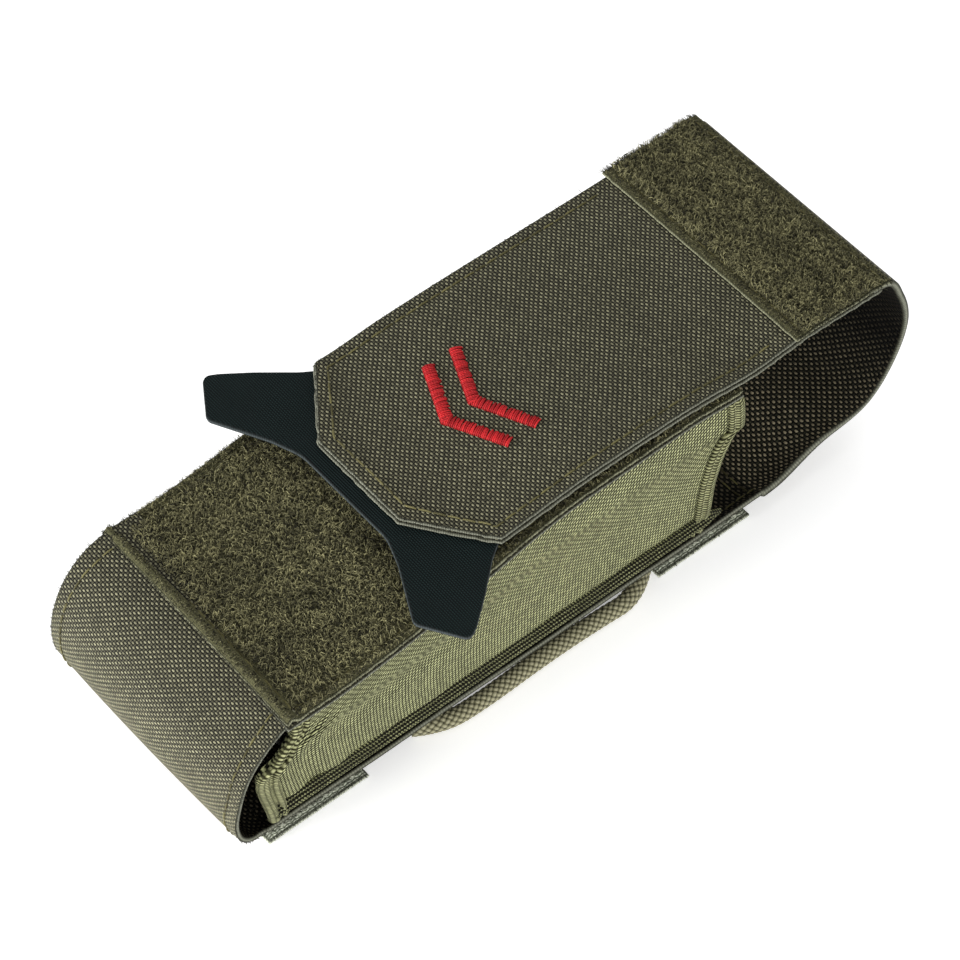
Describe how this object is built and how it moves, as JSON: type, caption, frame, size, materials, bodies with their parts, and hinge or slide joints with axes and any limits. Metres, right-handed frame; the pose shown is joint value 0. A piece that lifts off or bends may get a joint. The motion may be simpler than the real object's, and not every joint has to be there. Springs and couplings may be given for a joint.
{
  "type": "tourniquet pouch",
  "caption": "Belt pouch for a folded tourniquet: elastic sleeve, fold-over flap with a pull tab, webbing on the back, and the tourniquet inside.",
  "frame": {"origin": "middle of the pouch's length and width, on the surface that its back webbing lies on", "axes": "+Y from the bottom fold to the top fold, +Z from the back to the front, X across"},
  "size_m": [0.0828, 0.1778, 0.0542],
  "materials": {
    "woven_nylon": "matte woven",
    "loop_pile": "fuzzy loop pile",
    "hook_tape": "hook tape",
    "elastic": "ribbed elastic",
    "webbing": "woven webbing",
    "braided_cord": "braided",
    "tab_laminate": "matte laminate",
    "red_thread": "satin stitch",
    "tourniquet_webbing": "woven webbing",
    "moulded_plastic": "moulded",
    "windlass_plastic": "moulded",
    "pale_webbing": "woven webbing"
  },
  "bodies": {
    "pouch": {"back_panel": "woven_nylon", "back_hem_left": "woven_nylon", "back_hem_right": "woven_nylon", "lower_webbing": "webbing", "upper_webbing": "webbing", "bottom_strap": "woven_nylon", "front_loop_patch": "loop_pile", "front_strip": "woven_nylon", "elastic_front": "elastic", "elastic_side_left": "elastic", "elastic_side_right": "elastic", "seam_rib_left": "elastic", "seam_rib_right": "elastic", "mouth_hem": "elastic", "bottom_hem": "elastic", "side_cord": "braided_cord"},
    "fold_1": {"flap_fold_1": "woven_nylon"},
    "fold_2": {"flap_fold_2": "woven_nylon"},
    "fold_3": {"flap_fold_3": "woven_nylon"},
    "flap": {"flap_outer": "woven_nylon", "flap_lining": "woven_nylon", "flap_hook_patch": "hook_tape", "flap_loop_patch": "loop_pile", "sewn_chevrons": "red_thread", "tab_root": "tab_laminate"},
    "tab": {"pull_tab": "tab_laminate"},
    "tourniquet": {"tourniquet_band": "tourniquet_webbing", "tourniquet_inner_fold": "tourniquet_webbing", "tourniquet_base_plate": "moulded_plastic", "windlass_rod": "windlass_plastic", "windlass_clip": "moulded_plastic", "time_strap": "pale_webbing", "tourniquet_buckle": "moulded_plastic", "windlass_ribbon": "tourniquet_webbing"}
  },
  "joints": [
    {"name": "fold_bend_1", "type": "hinge", "parent": "pouch", "child": "fold_1", "pos_m": [0, 0.0526, 0.0052], "axis": [-1, 0, 0], "range_deg": [0, 21.23]},
    {"name": "fold_bend_2", "type": "hinge", "parent": "fold_1", "child": "fold_2", "pos_m": [0, 0.08, 0.015], "axis": [-1, 0, 0], "range_deg": [0, 46.52]},
    {"name": "fold_bend_3", "type": "hinge", "parent": "fold_2", "child": "fold_3", "pos_m": [0, 0.0884, 0.034], "axis": [-1, 0, 0], "range_deg": [0, 48.11]},
    {"name": "flap_open", "type": "hinge", "parent": "fold_3", "child": "flap", "pos_m": [0, 0.0808, 0.0509], "axis": [-1, 0, 0], "range_deg": [0, 60.29]},
    {"name": "tab_lift", "type": "hinge", "parent": "flap", "child": "tab", "pos_m": [0, -0.0334, 0.0493], "axis": [-1, 0, 0], "range_deg": [0, 35]},
    {"name": "tourniquet_slide", "type": "slide", "parent": "pouch", "child": "tourniquet", "axis": [0, 1, 0], "range_m": [0, 0.026]}
  ],
  "couplings": [
    {"joint": "fold_bend_1", "follows": "flap_open", "ratio": 0.35131},
    {"joint": "fold_bend_2", "follows": "flap_open", "ratio": 0.77076},
    {"joint": "fold_bend_3", "follows": "flap_open", "ratio": 0.79722}
  ]
}
